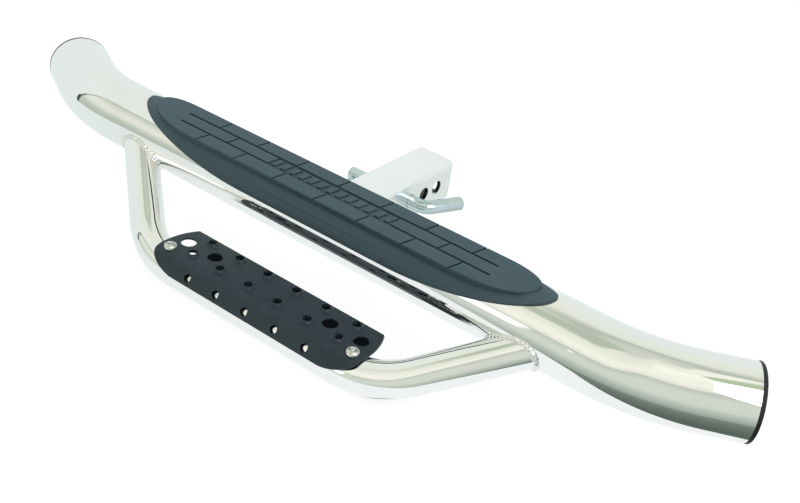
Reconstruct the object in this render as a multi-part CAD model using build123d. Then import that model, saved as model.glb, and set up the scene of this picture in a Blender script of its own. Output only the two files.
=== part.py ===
from build123d import *
import os
from math import asin, cos, radians, sin, sqrt, tan

# Hitch receiver step: a bent polished tube with a moulded tread pad, a lower step hung from it on
# a bent hoop, and a square shank that slides into a two inch receiver and is held by a bent pin.
# Lengths are millimetres and angles degrees. X runs along the step tube, Y along the shank towards
# the vehicle, Z is up. Shapes are drawn about the axis of the step tube, then moved so that the
# origin is the centre of the middle pin hole in the shank.

# Step tube
tube_diameter = 76.2
tube_wall = 2.0
tube_straight = 630.0
tube_bend_radius = 218.0
tube_bend_angle = 28.0
tube_tail = 41.5

# End caps
cap_flange = 4.5
cap_edge_chamfer = 1.2
cap_plug_depth = 16.0
cap_plug_wall = 2.5
cap_plug_gap = 0.6
cap_rib_count = 6
cap_rib_width = 2.0
cap_rib_gap = 0.05

# Tread pad, in a frame turned about the tube so that its middle faces along Z
pad_turn = 16.5
pad_end_margin = 44.2
pad_side_margin = 3.0
pad_weld_gap = 2.0
pad_end_run = 175.0
pad_back_end_run = 230.0
pad_nose_shift = 10.0
pad_gap = 0.1
pad_crown_lift = 5.0
pad_crown_margin = 0.5
pad_crown_fall = 2.0
tread_height = 5.6
tread_half_width = 22.3
tread_end_margin = 17.7
tread_end_run = 84.0
tread_back_end_run = 41.0
front_hold = 0.49
front_fullness = 0.78
back_hold = 0.6
back_fullness = 0.5
tread_edge_round = 1.4
tread_foot_round = 1.2

# Grooves cut in the tread
groove_width = 2.0
groove_depth = 2.2
lane_half_width = 7.0
lane_groove_margin = 47.3
stroke_pitch = 56.2
stroke_count = 7
stroke_lean = 27.0
stroke_shift = 8.0
middle_stroke_pitches = 2.5
panel_half_length = 82.0
panel_depth = 1.5
grip_bar_count = 13
grip_bar_width = 6.0
skirt_line_angle = 47.0
skirt_line_half_length = 142.0
skirt_line_width = 0.9
skirt_line_depth = 0.7

# Push-in clips that hold the pad
clip_count = 4
clip_end_margin = 75.8
clip_peg_radius = 3.9
clip_peg_gap = 0.1
clip_socket_depth = 2.8
clip_barb_radius = 5.2
clip_barb_step = 1.0
clip_barb_length = 10.0
clip_tip_radius = 2.0

# Drop hoop
hoop_diameter = 38.1
hoop_wall = 2.0
hoop_fall_angle = 37.0
hoop_lift = 4.7
hoop_foot_margin = 23.0
hoop_splay = 137.4
hoop_reach = 131.5
hoop_bend_radius = 108.0
joint_gap = 0.2

# Weld beads
weld_leg = 4.5
weld_gap = 0.1

# Step plate over the hoop
plate_sheet = 1.8
plate_clearance = 0.15
plate_back_reach = 46.6
plate_front_angle = 17.5
plate_end_reach = 26.2
plate_end_bulge = 1.0
plate_back_taper = 10.5
plate_corner_run = 49.0
plate_corner_rise = 23.1
plate_trim_margin = 1.0
hole_radius = 4.75
hole_pitch = 40.0
back_row_reach = 38.3
back_row_count = 6
middle_row_reach = 8.8
middle_row_count = 6
front_row_angle = 38.0
front_row_count = 5
big_hole_radius = 8.4
big_hole_reach = 21.6
big_hole_places = (79.5, 119.0)
dimple_foot_radius = 7.8
dimple_top_radius = 5.9
dimple_height = 2.0

# Screws and rivet nuts of the step plate
screw_end_margin = 12.5
screw_radius = 3.9
screw_length = 19.0
screw_hole_radius = 4.4
screw_head_radius = 7.2
screw_head_height = 4.2
screw_head_chamfer = 2.4
screw_socket_radius = 2.9
screw_socket_depth = 2.6
nut_bore_radius = 4.0
nut_sleeve_radius = 5.0
nut_hole_gap = 0.1
nut_flange_radius = 7.6
nut_length = 17.0

# Receiver shank
shank_side = 50.8
shank_wall = 4.8
shank_corner = 6.0
shank_rise = 3.2
shank_reach = 193.5
shank_end_chamfer = 0.8
pin_hole_radius = 8.35
pin_hole_pitch = 25.4
pin_hole_end = 29.3

# Bent hitch pin and its spring clip
pin_diameter = 15.9
pin_tail = 36.6
pin_nose = 20.1
pin_arm = 48.0
pin_bend_radius = 14.0
pin_bend_angle = 65.0
pin_chamfer = 2.0
clip_wire = 3.2
clip_hole_gap = 0.4
clip_hole_end = 9.5
clip_stub = 6.0
clip_loop_reach = 18.0
clip_loop_radius = 5.4
clip_clearance = 0.6
clip_neck_reach = 4.6
clip_neck_drop = 6.2
clip_flare_run = 12.0
clip_flare_drop = 2.9
clip_bend_radius = 5.0

# Sizes that follow from those above
tube_radius = tube_diameter / 2
pad_half_width = tube_radius - pad_side_margin
pad_crown_radius = tube_radius - pad_crown_margin
pad_half_length = tube_straight / 2 - pad_end_margin
tread_half_length = pad_half_length - tread_end_margin
tread_top = tube_radius + tread_height
clip_pitch = 2 * (pad_half_length - clip_end_margin) / (clip_count - 1)
hoop_radius = hoop_diameter / 2
pin_radius = pin_diameter / 2
wire_radius = clip_wire / 2
shank_drop = tube_radius - shank_side / 2 - shank_rise
outer_hole = shank_reach - pin_hole_end
middle_hole = outer_hole - pin_hole_pitch
inner_hole = middle_hole - pin_hole_pitch

home = Pos(0, -middle_hole, shank_drop)


def rod(path, diameter):
    """Solid round bar along a path."""
    start = Plane(origin=path @ 0, z_dir=path % 0)
    return sweep(start * Circle(diameter / 2), path=path)


def pipe(path, diameter, wall):
    """Hollow round tube along a path."""
    start = Plane(origin=path @ 0, z_dir=path % 0)
    ring = Circle(diameter / 2) - Circle(diameter / 2 - wall)
    return sweep(start * ring, path=path)


def nose_side(end, half_width, end_run, tip, hold, fullness):
    """One long curve of a pad outline, from its straight side to the tip of its nose."""
    toward = 1 if end > 0 else -1
    start = end - toward * end_run
    return Bezier((start, half_width), (start + toward * hold * end_run, half_width),
                  (end, tip + fullness * (half_width - tip)), (end, tip))


def nosed_outline(half_length, half_width, front_run, back_run):
    """Flat outline with straight sides and blunt noses whose tips are set towards the back."""
    outline = Curve()
    for end in (-half_length, half_length):
        outline += nose_side(end, -half_width, front_run, pad_nose_shift, front_hold, front_fullness)
        outline += nose_side(end, half_width, back_run, pad_nose_shift, back_hold, back_fullness)
    for side, run in ((-half_width, front_run), (half_width, back_run)):
        outline += Line((run - half_length, side), (half_length - run, side))
    return make_face(outline)


def row_of(count, pitch):
    """Evenly spaced places about zero."""
    return [(index - (count - 1) / 2) * pitch for index in range(count)]


# Step tube

def tube_path():
    """Straight middle, one bend towards the vehicle at each end, and two short tails."""
    bend_run = tube_bend_radius * tan(radians(tube_bend_angle / 2))
    corner = tube_straight / 2 + bend_run
    tail = bend_run + tube_tail
    end_x = corner + tail * cos(radians(tube_bend_angle))
    end_y = tail * sin(radians(tube_bend_angle))
    points = [(-end_x, end_y), (-corner, 0), (corner, 0), (end_x, end_y)]
    return FilletPolyline(*points, radius=tube_bend_radius)


def tube_envelope(growth):
    """Solid bar that fills the step tube, grown all round, for fitting other pieces to it."""
    return rod(tube_path(), tube_diameter + 2 * growth)


def main_tube():
    """Bent step tube with a hole for each pad clip."""
    tube = pipe(tube_path(), tube_diameter, tube_wall)
    drill = Cylinder(clip_peg_radius + clip_peg_gap, tube_diameter, align=(Align.CENTER, Align.CENTER, Align.MIN))
    for place in row_of(clip_count, clip_pitch):
        tube -= Rot(pad_turn, 0, 0) * Pos(place, 0, 0) * drill
    return tube


def end_cap(at_start):
    """Plug with a flange that closes one end of the step tube."""
    path = tube_path()
    end = path @ 0 if at_start else path @ 1
    outward = -(path % 0) if at_start else path % 1
    inner = tube_radius - tube_wall
    plug = inner - cap_plug_gap
    flange = Cylinder(tube_radius, cap_flange, align=(Align.CENTER, Align.CENTER, Align.MIN))
    flange = chamfer(flange.edges().group_by(Axis.Z)[-1], cap_edge_chamfer)
    wall = extrude(Circle(plug) - Circle(plug - cap_plug_wall), -cap_plug_depth)
    rib_depth = cap_plug_gap - cap_rib_gap + cap_plug_wall / 2
    rib = Box(rib_depth, cap_rib_width, cap_plug_depth, align=(Align.MAX, Align.CENTER, Align.MAX))
    ribs = [spot * rib for spot in PolarLocations(inner - cap_rib_gap, cap_rib_count)]
    return Plane(origin=end, z_dir=outward) * (flange + wall + ribs)


# Tread pad

def pad_saddle():
    """Thin moulded saddle that hugs the tube, thinner at its ends, cut to its nosed outline."""
    half = pad_half_length
    end_radius = pad_crown_radius - pad_crown_fall
    arc = ThreePointArc((-half, end_radius), (0, pad_crown_radius), (half, end_radius))
    profile = make_face(arc + Polyline((half, end_radius), (half, 0), (-half, 0), (-half, end_radius)))
    crown = Pos(0, 0, pad_crown_lift) * revolve(profile, Axis.X)
    outline = nosed_outline(half, pad_half_width, pad_end_run, pad_back_end_run)
    return crown & extrude(outline, tube_diameter)


def tread_block():
    """Raised flat tread with a rounded top edge."""
    outline = nosed_outline(tread_half_length, tread_half_width, tread_end_run, tread_back_end_run)
    block = extrude(outline, tread_top)
    return fillet(block.edges().group_by(Axis.Z)[-1], tread_edge_round)


def tread_foot_edges(pad):
    """Edges where the wall of the tread meets the saddle."""
    lowest_crown = pad_crown_lift
    inside = tread_half_width + groove_width
    edges = [edge for edge in pad.edges() if edge.center().Z > lowest_crown]
    edges = [edge for edge in edges if edge.center().Z < tread_top - tread_edge_round]
    return [edge for edge in edges if edge.bounding_box().max.Y < inside and edge.bounding_box().min.Y > -inside]


def groove(start, finish):
    """Straight cutter with round ends for one groove of the tread."""
    line = Line(start, finish)
    slot = SlotCenterToCenter(line.length, groove_width)
    angle = (line % 0).get_signed_angle(Vector(1, 0, 0), Vector(0, 0, -1))
    cutter = extrude(slot, tread_top - tube_radius)
    return Pos(*(line @ 0.5)) * Rot(0, 0, angle) * cutter


def tread_cuts():
    """Two long grooves, slanting strokes across the three lanes and a shallow middle panel."""
    long_half = tread_half_length - lane_groove_margin
    edge = tread_half_width + groove_width
    outer_run = (edge - lane_half_width) * tan(radians(stroke_lean))
    inner_run = lane_half_width * tan(radians(stroke_lean))
    cuts = []
    for side in (-1, 1):
        lane = side * lane_half_width
        cuts.append(groove((-long_half, lane), (long_half, lane)))
        for place in row_of(stroke_count, stroke_pitch):
            inside = place + stroke_shift
            cuts.append(groove((inside, lane), (inside + side * outer_run, side * edge)))
        middle = side * middle_stroke_pitches * stroke_pitch + stroke_shift
        cuts.append(groove((middle - inner_run, -lane_half_width), (middle + inner_run, lane_half_width)))
    floor = Pos(0, 0, tread_top - groove_depth)
    return [floor * cut for cut in cuts] + [panel_cut()]


def slanted_bar(place, width, half_width):
    """Upright bar that leans as the strokes do, across the middle lane."""
    run = half_width * tan(radians(stroke_lean))
    corners = [(place - run - width / 2, -half_width), (place - run + width / 2, -half_width),
               (place + run + width / 2, half_width), (place + run - width / 2, half_width)]
    return extrude(make_face(Polyline(*corners, close=True)), groove_depth)


def panel_cut():
    """Shallow panel in the middle lane that leaves a row of plain slanting grip bars."""
    panel = slanted_bar(stroke_shift, 2 * panel_half_length, lane_half_width)
    pitch = 2 * panel_half_length / grip_bar_count
    for place in row_of(grip_bar_count, pitch):
        panel -= slanted_bar(place + stroke_shift, grip_bar_width, lane_half_width - groove_width)
    return Pos(0, 0, tread_top - panel_depth) * panel


def skirt_lines():
    """Fine moulded line along each flank of the saddle."""
    depth = 2 * (pad_crown_lift + skirt_line_depth)
    cutter = Box(2 * skirt_line_half_length, skirt_line_width, depth)
    lines = []
    for side in (-1, 1):
        angle = side * skirt_line_angle
        surface = pad_crown_lift * cos(radians(angle)) + pad_crown_radius - skirt_line_depth
        lines.append(Rot(angle, 0, 0) * Pos(0, 0, surface + depth / 2) * cutter)
    return lines


def step_pad():
    """Moulded pad: saddle and tread in one piece, with blind sockets, kept clear of the shank's weld."""
    pad = pad_saddle() + tread_block()
    pad = fillet(tread_foot_edges(pad), tread_foot_round)
    pad -= Rot(0, 90, 0) * Cylinder(tube_radius + pad_gap, tube_straight)
    pad -= tread_cuts()
    pad -= skirt_lines()
    socket_top = tube_radius + clip_socket_depth
    socket = Cylinder(clip_peg_radius + clip_peg_gap, socket_top, align=(Align.CENTER, Align.CENTER, Align.MIN))
    for place in row_of(clip_count, clip_pitch):
        pad -= Pos(place, 0, 0) * socket
    pad = Rot(pad_turn, 0, 0) * pad
    return pad - shank_block(weld_leg + pad_weld_gap, 0, tube_diameter)


def pad_clip(place):
    """Barbed peg, seated in a socket of the pad and pushed through the tube."""
    top = tube_radius + clip_socket_depth - clip_peg_gap
    neck = tube_radius - tube_wall - clip_peg_gap - clip_barb_step
    tip = neck - clip_barb_length
    corners = [(0, top), (clip_peg_radius, top), (clip_peg_radius, neck), (clip_barb_radius, neck - clip_barb_step),
               (clip_tip_radius, tip), (0, tip)]
    profile = Plane.XZ * make_face(Polyline(*corners, close=True))
    return Rot(pad_turn, 0, 0) * Pos(place, 0, 0) * revolve(profile, Axis.Z)


# Drop hoop

hoop_fall = radians(hoop_fall_angle)
hoop_plane = Plane(origin=(0, -hoop_lift * sin(hoop_fall), hoop_lift * cos(hoop_fall)),
                   x_dir=(1, 0, 0), z_dir=(0, sin(hoop_fall), -cos(hoop_fall)))
hoop_foot = tube_straight / 2 - hoop_foot_margin
hoop_corner = hoop_foot - hoop_splay
hoop_turn = Vector(hoop_splay, hoop_reach).get_angle(Vector(1, 0))
hoop_flat = hoop_corner - hoop_bend_radius * tan(radians(hoop_turn / 2))
cross_bar = hoop_plane.from_local_coords(Vector(0, hoop_reach, 0))


def hoop_path():
    """Centre line of the hoop in its own plane: splayed legs and a straight step bar."""
    points = [(-hoop_foot, 0), (-hoop_corner, hoop_reach), (hoop_corner, hoop_reach), (hoop_foot, 0)]
    return FilletPolyline(*points, radius=hoop_bend_radius)


def hoop_bar(diameter):
    """Solid bar along the hoop."""
    return hoop_plane * rod(hoop_path(), diameter)


def drop_hoop():
    """Bent hoop tube, its feet cut to saddle the step tube, drilled for the rivet nuts."""
    hoop = hoop_plane * pipe(hoop_path(), hoop_diameter, hoop_wall)
    hoop -= tube_envelope(joint_gap)
    for side in (-1, 1):
        drill = Cylinder(nut_sleeve_radius + nut_hole_gap, hoop_diameter)
        hoop -= Pos(*screw_spot(side)) * Pos(0, 0, hoop_diameter / 2) * drill
    return hoop


def hoop_leg(side, radius):
    """Solid straight bar along one leg of the hoop, from inside the step tube outwards."""
    foot = hoop_plane.from_local_coords(Vector(side * hoop_foot, 0, 0))
    corner = hoop_plane.from_local_coords(Vector(side * hoop_corner, hoop_reach, 0))
    run = (corner - foot).length
    leg = Cylinder(radius, run, align=(Align.CENTER, Align.CENTER, Align.MIN))
    return Plane(origin=foot, z_dir=corner - foot) * leg


def hoop_weld(side):
    """Bead round the foot of one leg."""
    bead = hoop_leg(side, hoop_radius + weld_leg) & tube_envelope(weld_leg)
    bead -= tube_envelope(weld_gap)
    return bead - hoop_leg(side, hoop_radius + weld_gap)


# Step plate

plate_half = hoop_flat + plate_end_reach
bend_crest = hoop_bend_radius - hoop_radius * sin(hoop_fall)
bend_crest_turn = asin((plate_end_reach + plate_end_bulge) / bend_crest)
plate_gap = plate_clearance + bend_crest * (1 - cos(bend_crest_turn)) * sin(hoop_fall)
plate_inner = hoop_radius + plate_gap
plate_outer = plate_inner + plate_sheet
plate_under = cross_bar.Z + plate_inner
plate_top = cross_bar.Z + plate_outer


def around_bar(radius, angle):
    """Point in the YZ section at an angle above the front of the step bar."""
    return (cross_bar.Y - radius * cos(radians(angle)), cross_bar.Z + radius * sin(radians(angle)))


def plate_section():
    """Section of the formed sheet: flat behind the bar, then wrapped over the front of it."""
    back = cross_bar.Y + plate_back_reach
    middle = (90 + plate_front_angle) / 2
    section = Line((back, plate_under), around_bar(plate_inner, 90))
    section += ThreePointArc(around_bar(plate_inner, 90), around_bar(plate_inner, middle),
                             around_bar(plate_inner, plate_front_angle))
    section += Line(around_bar(plate_inner, plate_front_angle), around_bar(plate_outer, plate_front_angle))
    section += ThreePointArc(around_bar(plate_outer, plate_front_angle), around_bar(plate_outer, middle),
                             around_bar(plate_outer, 90))
    section += Line(around_bar(plate_outer, 90), (back, plate_top))
    section += Line((back, plate_top), (back, plate_under))
    return Plane.YZ * make_face(section)


def plate_outline():
    """Outline of the plate seen square to its rounded front: round front corners, tapered ends."""
    diagonal = sqrt(0.5)
    front_drop = cos(radians(plate_front_angle)) - sin(radians(plate_front_angle))
    front = -plate_outer * front_drop * diagonal
    back = (plate_back_reach + plate_outer) * diagonal
    shoulder = front + plate_corner_rise
    flat = plate_half - plate_corner_run
    low = front - plate_trim_margin
    high = back + plate_trim_margin
    back_half = plate_half - plate_back_taper
    waist = (shoulder + back) / 2 - plate_corner_rise / 4
    bulge = plate_half + plate_end_bulge
    outline = Line((-flat, low), (flat, low))
    outline += EllipticalCenterArc((flat, shoulder), plate_corner_run, shoulder - low, start_angle=-90, arc_size=90)
    outline += ThreePointArc((plate_half, shoulder), (bulge, waist), (back_half, high))
    outline += Line((back_half, high), (-back_half, high))
    outline += ThreePointArc((-back_half, high), (-bulge, waist), (-plate_half, shoulder))
    outline += EllipticalCenterArc((-flat, shoulder), plate_corner_run, shoulder - low,
                                   start_angle=180, arc_size=90)
    facing = Plane(origin=(0, cross_bar.Y, cross_bar.Z), x_dir=(1, 0, 0), z_dir=(0, -1, 1))
    return facing * make_face(outline)


def dimple_places():
    """Places of the raised holes in the flat of the plate."""
    back = [(x, cross_bar.Y + back_row_reach) for x in row_of(back_row_count, hole_pitch)]
    middle = [(x, cross_bar.Y + middle_row_reach) for x in row_of(middle_row_count, hole_pitch)]
    return back + middle


def drop_step_plate():
    """Formed sheet with raised grip holes, plain holes and two screw holes."""
    sheet = extrude(plate_section(), plate_half + plate_end_bulge, both=True)
    plate = sheet & extrude(plate_outline(), tube_diameter, both=True)
    dimple = Cone(dimple_foot_radius, dimple_top_radius, dimple_height, align=(Align.CENTER, Align.CENTER, Align.MIN))
    spots = dimple_places()
    plate += [Pos(x, y, plate_top) * dimple for x, y in spots]
    plate -= [Pos(x, y, plate_top) * Cylinder(hole_radius, hoop_diameter) for x, y in spots]
    big = cross_bar.Y + big_hole_reach
    for side in (-1, 1):
        for place in big_hole_places:
            plate -= Pos(side * place, big, plate_top) * Cylinder(big_hole_radius, hoop_diameter)
        screw_x, screw_y, _ = screw_spot(side)
        plate -= Pos(screw_x, screw_y, plate_top) * Cylinder(screw_hole_radius, hoop_diameter)
    for x in row_of(front_row_count, hole_pitch):
        y, z = around_bar(plate_inner, front_row_angle)
        slope = Plane(origin=(x, y, z), z_dir=(0, -cos(radians(front_row_angle)), sin(radians(front_row_angle))))
        plate -= slope * Cylinder(hole_radius, hoop_radius)
    return plate


# Screws and rivet nuts

def screw_spot(side):
    """Point on the centre line of the hoop under one plate screw."""
    place = plate_half - screw_end_margin
    turned = asin(max(0.0, place - hoop_flat) / hoop_bend_radius)
    inward = hoop_bend_radius * (1 - cos(turned))
    spot = hoop_plane.from_local_coords(Vector(side * place, hoop_reach - inward, 0))
    return spot.X, spot.Y, spot.Z


def plate_screw(side):
    """Button head screw with a hexagon socket."""
    spot_x, spot_y, _ = screw_spot(side)
    head = Cylinder(screw_head_radius, screw_head_height, align=(Align.CENTER, Align.CENTER, Align.MIN))
    head = chamfer(head.edges().group_by(Axis.Z)[-1], screw_head_chamfer)
    shank = Cylinder(screw_radius, screw_length, align=(Align.CENTER, Align.CENTER, Align.MAX))
    socket = extrude(RegularPolygon(screw_socket_radius, 6), screw_socket_depth)
    screw = head + shank - Pos(0, 0, screw_head_height - screw_socket_depth) * socket
    return Pos(spot_x, spot_y, plate_top) * screw


def rivet_nut(side):
    """Threaded insert clenched in the hoop, with the plate resting on its flange."""
    spot_x, spot_y, _ = screw_spot(side)
    top = Pos(spot_x, spot_y, plate_under)
    hang = (Align.CENTER, Align.CENTER, Align.MAX)
    flange = top * Cylinder(nut_flange_radius, plate_gap + hoop_wall, align=hang)
    flange -= hoop_bar(hoop_diameter)
    sleeve = top * Cylinder(nut_sleeve_radius, nut_length, align=hang)
    bore = top * Cylinder(nut_bore_radius, 2 * nut_length)
    nut = flange + sleeve - bore
    return nut - extrude(plate_section(), plate_half, both=True)


# Receiver shank

def shank_block(growth, start, finish):
    """Solid rounded square bar along the shank, grown all round."""
    side = shank_side + 2 * growth
    section = Plane(origin=(0, start, -shank_drop), x_dir=(1, 0, 0), z_dir=(0, 1, 0))
    return extrude(section * RectangleRounded(side, side, shank_corner + growth), finish - start)


def receiver_shank():
    """Square tube, saddle cut to the step tube, with three cross holes for the hitch pin."""
    block = shank_block(0, 0, shank_reach)
    block = chamfer(block.edges().group_by(Axis.Y)[-1], shank_end_chamfer)
    shank = block - shank_block(-shank_wall, 0, shank_reach)
    shank -= tube_envelope(joint_gap)
    for place in (inner_hole, middle_hole, outer_hole):
        shank -= Pos(0, place, -shank_drop) * Rot(0, 90, 0) * Cylinder(pin_hole_radius, 2 * shank_side)
    return shank


def shank_weld():
    """Bead all round the joint of the shank and the step tube."""
    lowest = shank_drop + shank_side / 2
    start = sqrt(tube_radius ** 2 - lowest ** 2) - weld_leg
    bead = shank_block(weld_leg, start, tube_diameter) & tube_envelope(weld_leg)
    bead -= tube_envelope(weld_gap)
    return bead - shank_block(weld_gap, 0, tube_diameter)


# Hitch pin and clip

def hitch_pin():
    """Bent round pin, chamfered at both ends, with a cross hole for its clip."""
    nose = shank_side / 2 + pin_tail
    corner = shank_side / 2 + pin_nose
    arm = radians(pin_bend_angle)
    points = [(-nose, 0), (corner, 0), (corner + pin_arm * cos(arm), pin_arm * sin(arm))]
    pin = rod(FilletPolyline(*points, radius=pin_bend_radius), pin_diameter)
    pin = chamfer(pin.faces().filter_by(GeomType.PLANE).edges(), pin_chamfer)
    pin -= Pos(clip_hole_end - nose, 0, 0) * Rot(90, 0, 0) * Cylinder(wire_radius + clip_hole_gap, 2 * pin_diameter)
    return Pos(0, inner_hole, -shank_drop) * pin


def pin_clip():
    """Spring wire clip: one leg through the pin, a round end, and a leg that passes under the pin."""
    under = pin_radius + wire_radius + clip_clearance
    loop_end = pin_radius + clip_loop_reach
    points = [(-pin_radius - clip_stub, 0), (loop_end, 0), (loop_end, 2 * clip_loop_radius + wire_radius),
              (pin_radius + clip_neck_reach, clip_neck_drop), (wire_radius, under),
              (wire_radius - clip_flare_run, under + clip_flare_drop)]
    radii = [clip_loop_radius, clip_loop_radius, clip_bend_radius, clip_bend_radius]
    wire = rod(FilletPolyline(*points, radius=radii), clip_wire)
    hole_x = clip_hole_end - shank_side / 2 - pin_tail
    across = Plane(origin=(hole_x, inner_hole, -shank_drop), x_dir=(0, -1, 0), z_dir=(1, 0, 0))
    return across * wire


# Every piece by name

pieces = {
    "main_tube": main_tube(),
    "end_cap_left": end_cap(True),
    "end_cap_right": end_cap(False),
    "step_pad": step_pad(),
    "drop_hoop": drop_hoop(),
    "hoop_weld_left": hoop_weld(-1),
    "hoop_weld_right": hoop_weld(1),
    "drop_step_plate": drop_step_plate(),
    "plate_screw_left": plate_screw(-1),
    "plate_screw_right": plate_screw(1),
    "rivet_nut_left": rivet_nut(-1),
    "rivet_nut_right": rivet_nut(1),
    "receiver_shank": receiver_shank(),
    "shank_weld": shank_weld(),
    "hitch_pin": hitch_pin(),
    "pin_clip": pin_clip(),
}
for number, place in enumerate(row_of(clip_count, clip_pitch), start=1):
    pieces[f"pad_clip_{number}"] = pad_clip(place)

os.makedirs("parts", exist_ok=True)
for name, shape in pieces.items():
    export_step(home * shape, f"parts/{name}.step")
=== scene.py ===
"""Looks of a hitch receiver step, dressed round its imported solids.

Lengths are metres in the part's own frame: X along the step tube, Y along the shank towards the
vehicle, Z up, with the origin at the centre of the middle pin hole in the shank.
"""
import logging
import math
from collections.abc import Sequence
from dataclasses import dataclass, field
from enum import Enum

import bmesh
import bpy
from mathutils import Matrix, Vector


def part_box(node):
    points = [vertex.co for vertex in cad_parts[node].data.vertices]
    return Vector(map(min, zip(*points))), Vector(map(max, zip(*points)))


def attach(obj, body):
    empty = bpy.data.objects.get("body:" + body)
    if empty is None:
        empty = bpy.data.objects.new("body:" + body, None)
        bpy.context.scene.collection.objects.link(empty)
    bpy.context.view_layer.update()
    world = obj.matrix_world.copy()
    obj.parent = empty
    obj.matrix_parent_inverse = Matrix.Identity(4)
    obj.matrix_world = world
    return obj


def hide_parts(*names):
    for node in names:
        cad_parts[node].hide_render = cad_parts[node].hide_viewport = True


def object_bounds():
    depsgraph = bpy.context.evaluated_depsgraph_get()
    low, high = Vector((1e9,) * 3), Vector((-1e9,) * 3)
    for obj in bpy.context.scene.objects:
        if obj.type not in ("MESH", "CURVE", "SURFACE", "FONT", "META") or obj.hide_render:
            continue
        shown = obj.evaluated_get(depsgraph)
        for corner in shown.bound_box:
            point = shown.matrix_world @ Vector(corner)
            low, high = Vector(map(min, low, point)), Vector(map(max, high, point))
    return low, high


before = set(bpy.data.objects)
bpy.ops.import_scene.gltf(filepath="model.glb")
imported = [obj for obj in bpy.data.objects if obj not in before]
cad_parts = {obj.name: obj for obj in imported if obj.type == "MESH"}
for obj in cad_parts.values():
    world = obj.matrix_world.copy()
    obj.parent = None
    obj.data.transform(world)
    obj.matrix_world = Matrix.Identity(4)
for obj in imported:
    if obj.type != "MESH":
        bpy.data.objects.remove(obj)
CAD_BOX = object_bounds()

log = logging.getLogger("hitch_step")

Piece = bpy.types.Object
Mesh = bpy.types.Mesh
Material = bpy.types.Material
Tree = bpy.types.NodeTree
Node = bpy.types.Node
Socket = bpy.types.NodeSocket
Span = tuple[float, float]
Triple = tuple[float, float, float]
Colour = Triple
Inputs = dict[str | int, object]

# Centre of the step tube and directions, in the part's frame
TUBE_CENTRE = Vector((0.0, -0.1388, 0.0095))
RIGHTWARD = Vector((1.0, 0.0, 0.0))
BACKWARD = Vector((0.0, 1.0, 0.0))
UPWARD = Vector((0.0, 0.0, 1.0))

# Ranges of masks that grow or fade
RISING = (0.0, 1.0)
FADING = (1.0, 0.0)


class Body(str, Enum):
    """Rigid bodies of the part that pieces ride on."""

    STEP = "step"
    PIN = "hitch_pin"
    CLIP = "pin_clip"


class Slot(str, Enum):
    """Material slots of the part's record."""

    POLISHED = "polished_steel"
    WELD = "weld_bead"
    SHANK = "bright_shank"
    ZINC = "zinc_pin"
    SCREW = "screw_steel"
    PLATE = "black_plate"
    PAD = "pad_plastic"
    CAP = "cap_plastic"
    NYLON = "clip_nylon"


class NodeSheet:
    """A node tree with short calls that add nodes and join them."""

    def __init__(self, tree: Tree) -> None:
        """Keep the tree that the calls work on."""
        self.tree = tree

    def feed(self, socket: Socket, value: object) -> None:
        """Join an output to an input socket, or set the socket's own value."""
        if isinstance(value, Socket):
            self.tree.links.new(value, socket)
        else:
            socket.default_value = value

    def fill(self, node: Node, inputs: Inputs) -> None:
        """Feed several inputs of a node, by socket name or number."""
        for key, value in inputs.items():
            self.feed(node.inputs[key], value)

    def add(self, kind: str, inputs: Inputs | None = None, **settings: object) -> Node:
        """Add one node.

        Args:
            kind: Blender's name of the node type.
            inputs: Values or output sockets for its inputs, by socket name or number.
            **settings: Options of the node itself.

        Returns:
            The new node.
        """
        node = self.tree.nodes.new(kind)
        for option, value in settings.items():
            setattr(node, option, value)
        self.fill(node, inputs or {})
        return node

    def math(self, operation: str, first: object, second: object = 0.0) -> Socket:
        """Return the result of one sum on two values or sockets."""
        return self.add("ShaderNodeMath", {0: first, 1: second}, operation=operation).outputs[0]

    def noise(self, place: Socket, scale: object, **options: float) -> Socket:
        """Return noise at a place, with further inputs of the noise by name."""
        return self.add("ShaderNodeTexNoise", {"Vector": place, "Scale": scale, **options}).outputs["Fac"]

    def spread(self, value: Socket, source: Span, target: Span = RISING) -> Socket:
        """Return a value spread from one range to another, held at the ends and eased between them."""
        limits = {"Value": value, "From Min": source[0], "From Max": source[1],
                  "To Min": target[0], "To Max": target[1]}
        return self.add("ShaderNodeMapRange", limits, interpolation_type="SMOOTHSTEP").outputs["Result"]

    def mix(self, share: object, first: object, second: object) -> Socket:
        """Return a colour between two colours."""
        node = self.add("ShaderNodeMix", data_type="RGBA")
        for key, value in (("Factor_Float", share), ("A_Color", first), ("B_Color", second)):
            self.feed(next(item for item in node.inputs if item.identifier == key), value)
        return next(item for item in node.outputs if item.identifier == "Result_Color")


def opaque(colour: Colour) -> tuple[float, float, float, float]:
    """Return a colour with full alpha."""
    return (*colour, 1.0)


# Shared surface effects

def open_group(name: str, kind: str, inputs: dict[str, str], outputs: dict[str, str]) -> NodeSheet:
    """Make an empty node group with named sockets.

    Args:
        name: Name of the group.
        kind: Shader or geometry tree type.
        inputs: Socket types of its inputs, by name.
        outputs: Socket types of its outputs, by name.

    Returns:
        The sheet of the new group.
    """
    tree = bpy.data.node_groups.new(name, kind)
    for label, socket in inputs.items():
        tree.interface.new_socket(label, in_out="INPUT", socket_type=socket)
    for label, socket in outputs.items():
        tree.interface.new_socket(label, in_out="OUTPUT", socket_type=socket)
    return NodeSheet(tree)


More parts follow.
